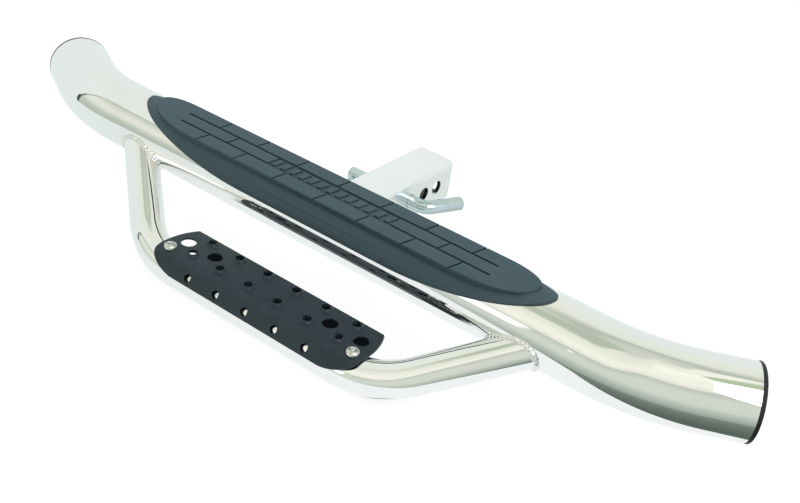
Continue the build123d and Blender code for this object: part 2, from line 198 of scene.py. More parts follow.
def surface_grain_group() -> Tree:
    """Build the group for fine grain and slow clouding of a surface.

    Returns:
        A shader group with Grain, Cloud and Height outputs.
    """
    number = "NodeSocketFloat"
    grain_look = {"Detail": 3.0, "Roughness": 0.6}
    cloud_look = {"Detail": 4.0, "Roughness": 0.55}
    middle_noise = (0.3, 0.7)
    half = 0.5
    sheet = open_group("surface_grain", "ShaderNodeTree",
                       {"Place": "NodeSocketVector", "Grain Scale": number, "Cloud Scale": number},
                       {"Grain": number, "Cloud": number, "Height": number})
    entry = sheet.add("NodeGroupInput").outputs
    grain = sheet.noise(entry["Place"], entry["Grain Scale"], **grain_look)
    cloud = sheet.noise(entry["Place"], entry["Cloud Scale"], **cloud_look)
    pits = sheet.add("ShaderNodeTexVoronoi", {"Vector": entry["Place"], "Scale": entry["Grain Scale"]},
                     feature="SMOOTH_F1").outputs["Distance"]
    height = sheet.math("ADD", sheet.math("MULTIPLY", grain, half), sheet.math("MULTIPLY", pits, half))
    sheet.add("NodeGroupOutput", {"Grain": sheet.spread(grain, middle_noise),
                                  "Cloud": sheet.spread(cloud, middle_noise), "Height": height})
    return sheet.tree


def rub_marks_group() -> Tree:
    """Build the group for fine parallel marks of polishing and handling.

    Returns:
        A shader group with a Marks output.
    """
    number = "NodeSocketFloat"
    line_scale = 1.0
    line_detail = 2.0
    line_top = 0.8
    patch_scale = 22.0
    patch_noise = (0.42, 0.62)
    sheet = open_group("rub_marks", "ShaderNodeTree",
                       {"Place": "NodeSocketVector", "Stretch": "NodeSocketVector", "Sparse": number},
                       {"Marks": number})
    entry = sheet.add("NodeGroupInput").outputs
    stretched = sheet.add("ShaderNodeVectorMath", {0: entry["Place"], 1: entry["Stretch"]},
                          operation="MULTIPLY").outputs["Vector"]
    lines = sheet.noise(stretched, line_scale, Detail=line_detail)
    patches = sheet.spread(sheet.noise(entry["Place"], patch_scale), patch_noise)
    kept = sheet.add("ShaderNodeMapRange", {"Value": lines, "From Min": entry["Sparse"],
                                            "From Max": line_top}).outputs["Result"]
    sheet.add("NodeGroupOutput", {"Marks": sheet.math("MULTIPLY", kept, patches)})
    return sheet.tree


class Effects:
    """Shader groups that the finishes share, each built once."""

    def __init__(self) -> None:
        """Build every group."""
        self.grain = surface_grain_group()
        self.marks = rub_marks_group()


# Finishes

class Coating:
    """A Principled material in the making, with the shared grain on its surface."""

    def __init__(self, name: str, grain: Tree, grain_scale: float, cloud_scale: float) -> None:
        """Start the material.

        Args:
            name: Name of the material.
            grain: Shader group of the grain.
            grain_scale: Scale of the fine grain.
            cloud_scale: Scale of the slow clouding.
        """
        self.material = bpy.data.materials.new(name)
        self.material.use_nodes = True
        self.sheet = NodeSheet(self.material.node_tree)
        self.place = self.sheet.add("ShaderNodeTexCoord").outputs["Object"]
        scales = {"Place": self.place, "Grain Scale": grain_scale, "Cloud Scale": cloud_scale}
        self.grain = self.sheet.add("ShaderNodeGroup", scales, node_tree=grain).outputs

    def finish(self, grain_height: float, inputs: Inputs) -> Material:
        """Give the shader its inputs and the unevenness of the grain.

        Args:
            grain_height: Height of the grain.
            inputs: Inputs of the shader by name.

        Returns:
            The finished material.
        """
        bump = self.sheet.add("ShaderNodeBump", {"Height": self.grain["Height"], "Strength": 1.0,
                                                 "Distance": grain_height})
        shader = next(node for node in self.sheet.tree.nodes if node.type == "BSDF_PRINCIPLED")
        self.sheet.fill(shader, {**inputs, "Normal": bump.outputs["Normal"]})
        return self.material


@dataclass(frozen=True)
class BareMetal:
    """Bare or plated metal with clouded shine, fine marks and a slightly uneven surface, and painted shade
    inside a square hollow when one is given.
    """

    name: str
    colour: Colour
    shade: Colour
    shine: Span
    cloud_scale: float
    grain_scale: float
    uneven: float
    stretch: Triple
    sparse: float = 0.58
    marks_roughness: float = 0.12
    # Half size of a square hollow along Y whose inside gets a painted shade colour and more roughness
    hollow_shade_half: float = 0.0
    hollow_shade_colour: Colour = (0.10, 0.105, 0.095)
    hollow_roughness: float = 0.35

    def hollow(self, sheet: NodeSheet, place: Socket) -> Socket:
        """Return a mask that is 1 inside a square hollow along Y, where shade is painted."""
        parts = sheet.add("ShaderNodeSeparateXYZ", {"Vector": place})
        aside = sheet.math("MAXIMUM", sheet.math("ABSOLUTE", parts.outputs["X"]),
                           sheet.math("ABSOLUTE", parts.outputs["Z"]))
        return sheet.math("LESS_THAN", aside, self.hollow_shade_half)

    def material(self, effects: Effects) -> Material:
        """Build the material.

        Args:
            effects: Shared shader groups.

        Returns:
            The finished material.
        """
        coat = Coating(self.name, effects.grain, self.grain_scale, self.cloud_scale)
        sheet = coat.sheet
        cloud = coat.grain["Cloud"]
        rubbing = {"Place": coat.place, "Stretch": self.stretch, "Sparse": self.sparse}
        marks = sheet.add("ShaderNodeGroup", rubbing, node_tree=effects.marks).outputs["Marks"]
        colour = sheet.mix(cloud, opaque(self.colour), opaque(self.shade))
        roughness = sheet.math("ADD", sheet.spread(cloud, RISING, self.shine),
                               sheet.math("MULTIPLY", marks, self.marks_roughness))
        if self.hollow_shade_half:
            # Painted shade: inside the hollow the colour is darkened to stand in for shade
            hollow = self.hollow(sheet, coat.place)
            colour = sheet.mix(hollow, colour, opaque(self.hollow_shade_colour))
            roughness = sheet.math("ADD", roughness, sheet.math("MULTIPLY", hollow, self.hollow_roughness))
        return coat.finish(self.uneven, {"Base Color": colour, "Roughness": roughness, "Metallic": 1.0})


@dataclass(frozen=True)
class Moulded:
    """Moulded plastic, nylon or powder coat with a fine grain and slow clouding."""

    name: str
    colour: Colour
    bloom: Colour
    roughness: Span
    grain_scale: float
    cloud_scale: float
    grain_height: float
    specular: float = 0.5

    def material(self, effects: Effects) -> Material:
        """Build the material.

        Args:
            effects: Shared shader groups.

        Returns:
            The finished material.
        """
        coat = Coating(self.name, effects.grain, self.grain_scale, self.cloud_scale)
        sheet = coat.sheet
        speckle = sheet.math("MULTIPLY", coat.grain["Grain"], coat.grain["Cloud"])
        colour = sheet.mix(speckle, opaque(self.colour), opaque(self.bloom))
        roughness = sheet.spread(coat.grain["Cloud"], RISING, self.roughness)
        return coat.finish(self.grain_height, {"Base Color": colour, "Roughness": roughness,
                                               "Specular IOR Level": self.specular})


POLISHED_STEEL = BareMetal("polished_steel", colour=(0.925, 0.92, 0.905), shade=(0.90, 0.895, 0.88),
                           shine=(0.008, 0.022), cloud_scale=14.0, grain_scale=26.0, uneven=0.00007,
                           stretch=(60.0, 2600.0, 2600.0), marks_roughness=0.06)
WELD_STEEL = BareMetal("weld_steel", colour=(0.90, 0.895, 0.88), shade=(0.74, 0.73, 0.69),
                       shine=(0.02, 0.07), cloud_scale=160.0, grain_scale=260.0, uneven=0.00004,
                       stretch=(900.0, 900.0, 900.0))
# The inside of the shank's hollow is painted dark as shade
SHANK_STEEL = BareMetal("shank_steel", colour=(0.965, 0.97, 0.985), shade=(0.94, 0.945, 0.96),
                        shine=(0.16, 0.21), cloud_scale=30.0, grain_scale=900.0, uneven=0.000006,
                        stretch=(1500.0, 40.0, 1500.0), marks_roughness=0.05, hollow_shade_half=0.0225)
ZINC_PLATE = BareMetal("zinc_plate", colour=(0.61, 0.69, 0.715), shade=(0.51, 0.61, 0.645),
                       shine=(0.05, 0.10), cloud_scale=60.0, grain_scale=700.0, uneven=0.000006,
                       stretch=(60.0, 1800.0, 1800.0), marks_roughness=0.05)
SCREW_STEEL = BareMetal("screw_steel", colour=(0.76, 0.76, 0.74), shade=(0.62, 0.62, 0.60),
                        shine=(0.12, 0.22), cloud_scale=260.0, grain_scale=1500.0, uneven=0.00001,
                        stretch=(1200.0, 1200.0, 300.0))
POWDER_COAT = Moulded("powder_coat", colour=(0.0045, 0.0155, 0.0235), bloom=(0.014, 0.030, 0.041),
                      roughness=(0.31, 0.42), grain_scale=1300.0, cloud_scale=60.0, grain_height=0.00022,
                      specular=0.43)
PAD_RUBBER = Moulded("pad_rubber", colour=(0.038, 0.068, 0.086), bloom=(0.054, 0.087, 0.111),
                     roughness=(0.50, 0.62), grain_scale=1600.0, cloud_scale=35.0, grain_height=0.00012,
                     specular=0.38)
CAP_PLASTIC = Moulded("cap_plastic", colour=(0.012, 0.013, 0.015), bloom=(0.022, 0.023, 0.026),
                      roughness=(0.46, 0.58), grain_scale=1700.0, cloud_scale=60.0, grain_height=0.00005,
                      specular=0.35)
CLIP_NYLON = Moulded("clip_nylon", colour=(0.030, 0.030, 0.030), bloom=(0.055, 0.055, 0.055),
                     roughness=(0.40, 0.55), grain_scale=1500.0, cloud_scale=120.0, grain_height=0.00004)


class Paints:
    """Every material of the part, made once and found by slot."""

    def __init__(self) -> None:
        """Build all materials."""
        effects = Effects()
        finishes = {Slot.POLISHED: POLISHED_STEEL, Slot.WELD: WELD_STEEL, Slot.SHANK: SHANK_STEEL,
                    Slot.ZINC: ZINC_PLATE, Slot.SCREW: SCREW_STEEL, Slot.PLATE: POWDER_COAT,
                    Slot.PAD: PAD_RUBBER, Slot.CAP: CAP_PLASTIC, Slot.NYLON: CLIP_NYLON}
        self.by_slot = {slot: finish.material(effects) for slot, finish in finishes.items()}

    def dress(self, node: str, slot: Slot) -> None:
        """Put a material on a CAD node that stays in view."""
        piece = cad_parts[node]
        piece.material_slots[0].link = "OBJECT"
        piece.material_slots[0].material = self.by_slot[slot]


# Meshes

def add_object(mesh: Mesh) -> Piece:
    """Put a mesh in the scene as an object of the same name."""
    piece = bpy.data.objects.new(mesh.name, mesh)
    bpy.context.scene.collection.objects.link(piece)
    return piece


def bake(piece: Piece) -> Piece:
    """Turn an object's modifiers into plain mesh.

    Args:
        piece: Object with modifiers.

    Returns:
        The same object, with its evaluated mesh and no modifiers.
    """
    bpy.context.view_layer.update()
    evaluated = piece.evaluated_get(bpy.context.evaluated_depsgraph_get())
    mesh = bpy.data.meshes.new_from_object(evaluated)
    raw = piece.data
    piece.modifiers.clear()
    piece.data = mesh
    bpy.data.meshes.remove(raw)
    mesh.name = piece.name
    return piece


def hand_over(piece: Piece, body: Body, nodes: Sequence[str]) -> None:
    """Tell the frame where a piece rides and what it stands for.

    Args:
        piece: Finished piece.
        body: Rigid body that it moves with.
        nodes: CAD nodes that it replaces.
    """
    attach(piece, body.value)
    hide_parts(*nodes)
    log.info("%s: %d faces, on %s", piece.name, len(piece.data.polygons), body.value)


def path_mesh(name: str, points: Sequence[Vector], taper: Sequence[float] | None = None,
              outward: Sequence[Vector] | None = None, closed: bool = False) -> Mesh:
    """Make a line of edges for a Geometry Nodes tree to follow.

    Args:
        name: Name of the mesh.
        points: Points along the line.
        taper: Thickness at each point as a share, all 1 when left out.
        outward: Direction away from the metal at each point, for beads.
        closed: Whether the last point joins the first.

    Returns:
        The mesh of edges.
    """
    count = len(points)
    edges = [(index, (index + 1) % count) for index in range(count if closed else count - 1)]
    mesh = bpy.data.meshes.new(name)
    mesh.from_pydata([tuple(point) for point in points], edges, [])
    thickness = mesh.attributes.new("taper", "FLOAT", "POINT")
    thickness.data.foreach_set("value", list(taper or [1.0] * count))
    if outward:
        away = mesh.attributes.new("outward", "FLOAT_VECTOR", "POINT")
        away.data.foreach_set("vector", [part for direction in outward for part in direction])
    return mesh


def bent_route(corners: Sequence[Vector], radii: Sequence[float], arc_step: float,
               run_step: float) -> list[Vector]:
    """Lay out the centre line of a bent bar.

    Args:
        corners: End points and corners, in order.
        radii: Bend radius at each inner corner.
        arc_step: Angle between points in a bend, in radians.
        run_step: Greatest distance between points on a straight run.

    Returns:
        Points along the centre line.
    """
    fewest_parts = 2
    stops = [corners[0]]
    for before, corner, after, radius in zip(corners, corners[1:], corners[2:], radii):
        arriving = (corner - before).normalized()
        leaving = (after - corner).normalized()
        turn = arriving.angle(leaving)
        inward = (leaving - arriving).normalized()
        centre = corner + inward * (radius / math.cos(turn / 2))
        start = corner - arriving * (radius * math.tan(turn / 2)) - centre
        axis = arriving.cross(leaving).normalized()
        parts = max(fewest_parts, math.ceil(turn / arc_step))
        turns = [Matrix.Rotation(turn * index / parts, 3, axis) for index in range(parts + 1)]
        stops += [centre + rotation @ start for rotation in turns]
    stops.append(corners[-1])
    route = [stops[0]]
    for start, finish in zip(stops, stops[1:]):
        parts = max(1, math.ceil((finish - start).length / run_step))
        route += [start.lerp(finish, index / parts) for index in range(1, parts + 1)]
    return route


def circle(centre: Vector, axes: tuple[Vector, Vector], radius: float, count: int) -> list[Vector]:
    """Return points round a circle.

    Args:
        centre: Centre of the circle.
        axes: Two unit directions in its plane.
        radius: Radius of the circle.
        count: Number of points.

    Returns:
        The points, from the first direction towards the second.
    """
    turns = [2 * math.pi * index / count for index in range(count)]
    return [centre + (axes[0] * math.cos(turn) + axes[1] * math.sin(turn)) * radius for turn in turns]


def lathe_mesh(name: str, rings: Sequence[Sequence[Vector]]) -> Mesh:
    """Skin a stack of rings and close both ends with a fan.

    Args:
        name: Name of the mesh.
        rings: Rings with the same number of points, the first and last closed by a centre point.

    Returns:
        A closed mesh with smooth faces.
    """
    around = len(rings[0])
    points = [point for ring in rings for point in ring]
    faces = []
    for level in range(len(rings) - 1):
        for index in range(around):
            follow = (index + 1) % around
            low = level * around
            faces.append((low + index, low + follow, low + around + follow, low + around + index))
    for level, ring in ((0, rings[0]), (len(rings) - 1, rings[-1])):
        centre = len(points)
        points.append(sum(ring, Vector()) / around)
        for index in range(around):
            follow = (index + 1) % around
            pair = (level * around + follow, level * around + index)
            faces.append((centre, *pair) if level == 0 else (centre, *reversed(pair)))
    mesh = bpy.data.meshes.new(name)
    mesh.from_pydata([tuple(point) for point in points], [], faces)
    work = bmesh.new()
    work.from_mesh(mesh)
    bmesh.ops.recalc_face_normals(work, faces=work.faces)
    work.to_mesh(mesh)
    work.free()
    return mesh


def smooth_by_angle(mesh: Mesh, degrees: float) -> None:
    """Shade a mesh smooth and keep edges sharper than an angle crisp."""
    mesh.shade_smooth()
    mesh.set_sharp_from_angle(angle=math.radians(degrees))


def join_mesh(piece: Piece, extra: Mesh) -> None:
    """Join a closed mesh to a piece, so that both are one shell.

    Args:
        piece: Object that takes the mesh.
        extra: Closed mesh that overlaps it, used up by the call.
    """
    other = add_object(extra)
    union = piece.modifiers.new("join_shells", "BOOLEAN")
    union.operation = "UNION"
    union.solver = "EXACT"
    union.object = other
    bake(piece)
    bpy.data.objects.remove(other)
    bpy.data.meshes.remove(extra)


def mesh_of(work: bmesh.types.BMesh, name: str) -> Mesh:
    """Return a named mesh of a worked mesh, which is used up."""
    mesh = bpy.data.meshes.new(name)
    work.to_mesh(mesh)
    work.free()
    return mesh


def refined_copy(node: str, edge_round: float, extra: Mesh | None) -> Piece:
    """Copy a CAD node as a clean mesh with softened edges.

    Args:
        node: CAD node to copy.
        edge_round: Width of the softened edges.
        extra: Closed mesh, if any, that is joined to the copy before its edges are softened.

    Returns:
        A new object in the same place.
    """
    merge_distance = 1e-6
    flat_angle = math.radians(0.4)
    edge_angle = 32.0
    edge_segments = 2
    work = bmesh.new()
    work.from_mesh(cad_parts[node].data)
    bmesh.ops.remove_doubles(work, verts=work.verts, dist=merge_distance)
    bmesh.ops.dissolve_limit(work, angle_limit=flat_angle, verts=work.verts, edges=work.edges)
    piece = add_object(mesh_of(work, node + "_skin"))
    if extra:
        join_mesh(piece, extra)
    soften = piece.modifiers.new("soften_edges", "BEVEL")
    soften.width = edge_round
    soften.segments = edge_segments
    soften.limit_method = "ANGLE"
    soften.angle_limit = math.radians(edge_angle)
    bake(piece)
    smooth_by_angle(piece.data, edge_angle)
    weigh = piece.modifiers.new("weigh_normals", "WEIGHTED_NORMAL")
    weigh.keep_sharp = True
    return bake(piece)


# Geometry Nodes trees

class PathTree:
    """Geometry Nodes tree that grows a piece along a line of edges."""

    def __init__(self, name: str, inputs: dict[str, str]) -> None:
        """Open the tree and read its line as a curve.

        Args:
            name: Name of the tree.
            inputs: Socket types of its inputs by name, apart from the line and the material.
        """
        line = {"Geometry": "NodeSocketGeometry"}
        self.sheet = open_group(name, "GeometryNodeTree",
                                {**line, **inputs, "Material": "NodeSocketMaterial"}, line)
        self.entry = self.sheet.add("NodeGroupInput").outputs
        traced = self.sheet.add("GeometryNodeMeshToCurve", {"Mesh": self.entry["Geometry"]})
        self.curve = traced.outputs["Curve"]

    def finish(self, shape: Socket) -> None:
        """Make a shape plain, smooth and painted, and hand it out of the tree."""
        whole = self.sheet.add("GeometryNodeRealizeInstances", {"Geometry": shape}).outputs["Geometry"]
        smooth = self.sheet.add("GeometryNodeSetShadeSmooth", {"Geometry": whole}).outputs["Geometry"]
        dressed = self.sheet.add("GeometryNodeSetMaterial",
                                 {"Geometry": smooth, "Material": self.entry["Material"]})
        self.sheet.add("NodeGroupOutput", {"Geometry": dressed.outputs["Geometry"]})

    def grow(self, path: Mesh, values: dict[str, object]) -> Piece:
        """Run the tree on a path and bake the result.

        Args:
            path: Line of edges that it follows.
            values: Inputs of the tree by name.

        Returns:
            A plain mesh object with the path's name.
        """
        tree = self.sheet.tree
        piece = add_object(path)
        modifier = piece.modifiers.new(tree.name, "NODES")
        modifier.node_group = tree
        for item in tree.interface.items_tree:
            if item.in_out == "INPUT" and item.name in values:
                modifier[item.identifier] = values[item.name]
        bake(piece)
        for attribute in ("taper", "outward"):
            if attribute in piece.data.attributes:
                piece.data.attributes.remove(piece.data.attributes[attribute])
        return piece


class SweepTree(PathTree):
    """Tree that sweeps a round section along a line of edges."""

    def __init__(self) -> None:
        """Build the tree with its named inputs."""
        super().__init__("round_sweep", {"Radius": "NodeSocketFloat", "Sides": "NodeSocketInt",
                                         "Closed Ends": "NodeSocketBool"})
        taper = self.sheet.add("GeometryNodeInputNamedAttribute", {"Name": "taper"}).outputs["Attribute"]
        section = self.sheet.add("GeometryNodeCurvePrimitiveCircle",
                                 {"Resolution": self.entry["Sides"], "Radius": self.entry["Radius"]})
        skin = self.sheet.add("GeometryNodeCurveToMesh",
                              {"Curve": self.curve, "Profile Curve": section.outputs["Curve"], "Scale": taper,
                               "Fill Caps": self.entry["Closed Ends"]})
        self.finish(skin.outputs["Mesh"])


class BeadTree(PathTree):
    """Tree that lays a rippled weld bead along a closed line of edges."""

    seed = 7
    core_share = 0.86
    core_sides = 12
    drop_sides = 18
    drop_rings = 10
    drop_least = (0.70, 0.86, 0.82)
    drop_most = (1.10, 1.10, 1.12)

    def __init__(self) -> None:
        """Build the tree with its named inputs."""
        number = "NodeSocketFloat"
        super().__init__("weld_bead", {"Bead Radius": number, "Ripple Pitch": number, "Ripple Lean": number})
        sheet = self.sheet
        radius = self.entry["Bead Radius"]
        pitch = self.entry["Ripple Pitch"]
        spaced = sheet.add("GeometryNodeResampleCurve", {"Curve": self.curve, "Length": pitch},
                           mode="LENGTH").outputs["Curve"]
        core_radius = sheet.math("MULTIPLY", radius, self.core_share)
        section = sheet.add("GeometryNodeCurvePrimitiveCircle",
                            {"Resolution": self.core_sides, "Radius": core_radius})
        core = sheet.add("GeometryNodeCurveToMesh",
                         {"Curve": spaced, "Profile Curve": section.outputs["Curve"]}).outputs["Mesh"]
        drop = sheet.add("GeometryNodeMeshUVSphere", {"Segments": self.drop_sides, "Rings": self.drop_rings,
                                                      "Radius": 1.0}).outputs["Mesh"]
        tangent = sheet.add("GeometryNodeInputTangent").outputs["Tangent"]
        away = sheet.add("GeometryNodeInputNamedAttribute", {"Name": "outward"},
                         data_type="FLOAT_VECTOR").outputs["Attribute"]
        along = sheet.add("FunctionNodeAlignRotationToVector", {"Vector": tangent}, axis="X")
        upright = sheet.add("FunctionNodeAlignRotationToVector",
                            {"Rotation": along.outputs["Rotation"], "Vector": away},
                            axis="Z", pivot_axis="X").outputs["Rotation"]
        wander = sheet.add("FunctionNodeRandomValue",
                           {"Min": self.drop_least, "Max": self.drop_most, "Seed": self.seed},
                           data_type="FLOAT_VECTOR").outputs["Value"]
        shape = sheet.add("ShaderNodeCombineXYZ", {"X": pitch, "Y": radius, "Z": radius}).outputs["Vector"]
        scale = sheet.add("ShaderNodeVectorMath", {0: shape, 1: wander}, operation="MULTIPLY")
        ripples = sheet.add("GeometryNodeInstanceOnPoints",
                            {"Points": spaced, "Instance": drop, "Rotation": upright,
                             "Scale": scale.outputs["Vector"]})
        lean = sheet.add("ShaderNodeCombineXYZ", {"Y": self.entry["Ripple Lean"]}).outputs["Vector"]
        leaning = sheet.add("GeometryNodeRotateInstances",
                            {"Instances": ripples.outputs["Instances"], "Rotation": lean})
        joined = sheet.add("GeometryNodeJoinGeometry")
        for part in (core, leaning.outputs["Instances"]):
            sheet.tree.links.new(part, joined.inputs[0])
        self.finish(joined.outputs[0])


@dataclass(frozen=True)
class Bead:
    """Sizes of a weld bead and how far it stands off its joint, as a share of its radius."""

    radius: float
    pitch: float
    lean: float = 0.30
    stand_off: float = 0.25


@dataclass
class Workshop:
    """What every sub-assembly needs to build its pieces."""

    paints: Paints = field(default_factory=Paints)
    sweep: SweepTree = field(default_factory=SweepTree)
    bead: BeadTree = field(default_factory=BeadTree)
    rim_angle: float = 40.0

    def paint(self, slot: Slot) -> Material:
        """Return the material of a slot."""
        return self.paints.by_slot[slot]

    def bend_bar(self, path: Mesh, radius: float, sides: int, slot: Slot,
                 closed_ends: bool = False) -> Piece:
        """Sweep a round bar along a line of edges.

        Args:
            path: Line of edges.
            radius: Radius of the bar.
            sides: Points round its section.
            slot: Material slot.
            closed_ends: Whether its ends are closed.

        Returns:
            The bar.
        """
        return self.sweep.grow(path, {"Radius": radius, "Sides": sides, "Closed Ends": closed_ends,
                                      "Material": self.paint(slot)})

    def give_wall(self, piece: Piece, wall: float) -> None:
        """Turn a swept skin into a tube with a wall inside it and a crisp rim."""
        inward = -1.0
        thicken = piece.modifiers.new("wall", "SOLIDIFY")
        thicken.thickness = wall
        thicken.offset = inward
        bake(piece)
        smooth_by_angle(piece.data, self.rim_angle)

    def turn_piece(self, name: str, rings: Sequence[Sequence[Vector]], crisp_angle: float, slot: Slot,
                   node: str) -> None:
        """Skin rings as one turned piece of the step.

        Args:
            name: Name of the piece.
            rings: Rings of points.
            crisp_angle: Edges sharper than this, in degrees, stay crisp.
            slot: Material slot.
            node: CAD node that it stands for.
        """
        mesh = lathe_mesh(name, rings)
        smooth_by_angle(mesh, crisp_angle)
        mesh.materials.append(self.paint(slot))
        hand_over(add_object(mesh), Body.STEP, [node])

    def lay_bead(self, name: str, spots: Sequence[tuple[Vector, Vector]], size: Bead, node: str) -> None:
        """Lay a weld bead round a closed joint of the step.

        Args:
            name: Name of the bead.
            spots: Points on the joint, each with its direction away from the metal.
            size: Sizes of the bead.
            node: CAD node that it stands for.
        """
        points = [spot + away * size.radius * size.stand_off for spot, away in spots]
        path = path_mesh(name, points, outward=[away for _, away in spots], closed=True)
        bead = self.bead.grow(path, {"Bead Radius": size.radius, "Ripple Pitch": size.pitch,
                                     "Ripple Lean": size.lean, "Material": self.paint(Slot.WELD)})
        hand_over(bead, Body.STEP, [node])

    def dressed_copy(self, node: str, slot: Slot, body: Body, edge_round: float,
                     extra: Mesh | None = None) -> None:
        """Replace a CAD node by a clean copy with softened edges.

        Args:
            node: CAD node to copy.
            slot: Material slot.
            body: Rigid body that it moves with.
            edge_round: Width of the softened edges.
            extra: Closed mesh that is joined to the copy.
        """
        piece = refined_copy(node, edge_round, extra)
        piece.data.materials.clear()
        piece.data.materials.append(self.paint(slot))
        hand_over(piece, body, [node])


# Sub-assemblies

@dataclass
class StepTube:
    """Bent step tube with a black plug in each end."""

    shop: Workshop
    radius: float = 0.0381
    wall: float = 0.002
    straight: float = 0.630
    bend_radius: float = 0.218
    bend_angle: float = math.radians(28.0)
    tail: float = 0.0415
    sides: int = 160
    arc_step: float = math.radians(1.0)
    run_step: float = 0.03
    cap_flange: float = 0.0045
    cap_round: float = 0.0013
    cap_round_steps: int = 5
    cap_plug_depth: float = 0.016
    cap_plug_gap: float = 0.0006
    cap_sides: int = 128
    cap_crisp_angle: float = 35.0

    def corners(self) -> list[Vector]:
        """Return the ends and corners of the centre line."""
        bend_run = self.bend_radius * math.tan(self.bend_angle / 2)
        corner = self.straight / 2 + bend_run
        tail = bend_run + self.tail
        end_x = corner + tail * math.cos(self.bend_angle)
        end_y = tail * math.sin(self.bend_angle)
        flat = [(-end_x, end_y), (-corner, 0.0), (corner, 0.0), (end_x, end_y)]
        return [TUBE_CENTRE + Vector((x, y, 0.0)) for x, y in flat]

    def build_tube(self) -> None:
        """Sweep the polished tube."""
        route = bent_route(self.corners(), [self.bend_radius] * 2, self.arc_step, self.run_step)
        tube = self.shop.bend_bar(path_mesh("step_tube", route), self.radius, self.sides, Slot.POLISHED)
        self.shop.give_wall(tube, self.wall)
        hand_over(tube, Body.STEP, ["main_tube"])

    def build_cap(self, node: str, end: Vector, outward: Vector) -> None:
        """Turn one end plug on a lathe.

        Args:
            node: CAD node that the plug stands for.
            end: Centre of the tube's end.
            outward: Direction out of the tube.
        """
        plug = self.radius - self.wall - self.cap_plug_gap
        profile = [(plug, -self.cap_plug_depth), (plug, 0.0), (self.radius, 0.0)]
        for step in range(self.cap_round_steps + 1):
            turn = math.pi / 2 * step / self.cap_round_steps
            inset = self.cap_round * (1 - math.cos(turn))
            rise = self.cap_flange - self.cap_round * (1 - math.sin(turn))
            profile.append((self.radius - inset, rise))
        along = outward.cross(UPWARD)
        rings = [circle(end + outward * height, (UPWARD, along), distance, self.cap_sides)
                 for distance, height in profile]
        self.shop.turn_piece(node.replace("end_cap", "end_plug"), rings, self.cap_crisp_angle, Slot.CAP, node)

    def build(self) -> None:
        """Build the tube and both plugs."""
        self.build_tube()
        corners = self.corners()
        self.build_cap("end_cap_left", corners[0], (corners[0] - corners[1]).normalized())
        self.build_cap("end_cap_right", corners[-1], (corners[-1] - corners[-2]).normalized())


@dataclass
class TreadPad:
    """Moulded tread pad on the step tube and the pegs that hold it."""

    shop: Workshop
    edge_round: float = 0.0003
    peg_count: int = 4

    def build(self) -> None:
        """Refine the pad and dress its pegs."""
        self.shop.dressed_copy("step_pad", Slot.PAD, Body.STEP, self.edge_round)
        for number in range(1, self.peg_count + 1):
            self.shop.paints.dress(f"pad_clip_{number}", Slot.NYLON)


@dataclass
class DropHoop:
    """Bent hoop under the step tube with a weld bead round each foot."""

    shop: Workshop
    tube: StepTube
    radius: float = 0.01905
    wall: float = 0.002
    fall: float = math.radians(37.0)
    lift: float = 0.0047
    foot: float = 0.292
    splay: float = 0.1374
    reach: float = 0.1315
    bend_radius: float = 0.108
    sides: int = 96
    arc_step: float = math.radians(1.0)
    run_step: float = 0.012
    cope_run: float = 0.066
    bead: Bead = Bead(radius=0.0026, pitch=0.0052)
    bead_points: int = 180

    def in_frame(self, across: float, down: float) -> Vector:
        """Return a point of the hoop's own plane in the part's frame."""
        slope = Vector((0.0, -math.cos(self.fall), -math.sin(self.fall)))
        raised = Vector((0.0, -math.sin(self.fall), math.cos(self.fall))) * self.lift
        return TUBE_CENTRE + raised + Vector((across, 0.0, 0.0)) + slope * down

    def corners(self) -> list[Vector]:
        """Return the feet and corners of the centre line."""
        inner = self.foot - self.splay
        flat = [(-self.foot, 0.0), (-inner, self.reach), (inner, self.reach), (self.foot, 0.0)]
        return [self.in_frame(across, down) for across, down in flat]

    def to_tube(self, point: Vector, direction: Vector) -> Vector:
        """Move a point along a leg until it meets the skin of the step tube.

        Args:
            point: Starting point, inside the step tube.
            direction: Unit direction along the leg.

        Returns:
            The point on the step tube.
        """
        offset = point - TUBE_CENTRE
        square = direction.y ** 2 + direction.z ** 2
        half = offset.y * direction.y + offset.z * direction.z
        rest = offset.y ** 2 + offset.z ** 2 - self.tube.radius ** 2
        return point + direction * ((-half + math.sqrt(half ** 2 - square * rest)) / square)

    def build_hoop(self) -> None:
        """Sweep the hoop and cut its feet to the step tube."""
        corners = self.corners()
        first_leg = (corners[1] - corners[0]).normalized()
        last_leg = (corners[-2] - corners[-1]).normalized()
        starts = [corners[0], corners[0] + first_leg * self.cope_run]
        ends = [corners[-1] + last_leg * self.cope_run, corners[-1]]
        middle = bent_route([starts[1], corners[1], corners[2], ends[0]], [self.bend_radius] * 2,
                            self.arc_step, self.run_step)
        path = path_mesh("hoop_tube", [starts[0], *middle, ends[1]])
        hoop = self.shop.bend_bar(path, self.radius, self.sides, Slot.POLISHED)
        points = list(hoop.data.vertices)
        for leg, rim in ((first_leg, points[:self.sides]), (last_leg, points[-self.sides:])):
            for point in rim:
                point.co = self.to_tube(point.co, leg)
        self.shop.give_wall(hoop, self.wall)
        hand_over(hoop, Body.STEP, ["drop_hoop"])

    def build_bead(self, node: str, foot: Vector, corner: Vector) -> None:
        """Lay the weld bead round one foot.

        Args:
            node: CAD node that the bead stands for.
            foot: Start of the leg's centre line.
            corner: Corner at the other end of the leg.
        """
        leg = (corner - foot).normalized()
        across = leg.orthogonal().normalized()
        spots = []
        for from_leg in circle(Vector(), (across, leg.cross(across)), 1.0, self.bead_points):
            spot = self.to_tube(foot + from_leg * self.radius, leg)
            from_tube = spot - TUBE_CENTRE
            from_tube.x = 0.0
            spots.append((spot, (from_leg + from_tube.normalized()).normalized()))
        self.shop.lay_bead(node.replace("hoop_weld", "foot_bead"), spots, self.bead, node)

    def build(self) -> None:
        """Build the hoop and both beads."""
        self.build_hoop()
        corners = self.corners()
        self.build_bead("hoop_weld_left", corners[0], corners[1])
        self.build_bead("hoop_weld_right", corners[-1], corners[-2])


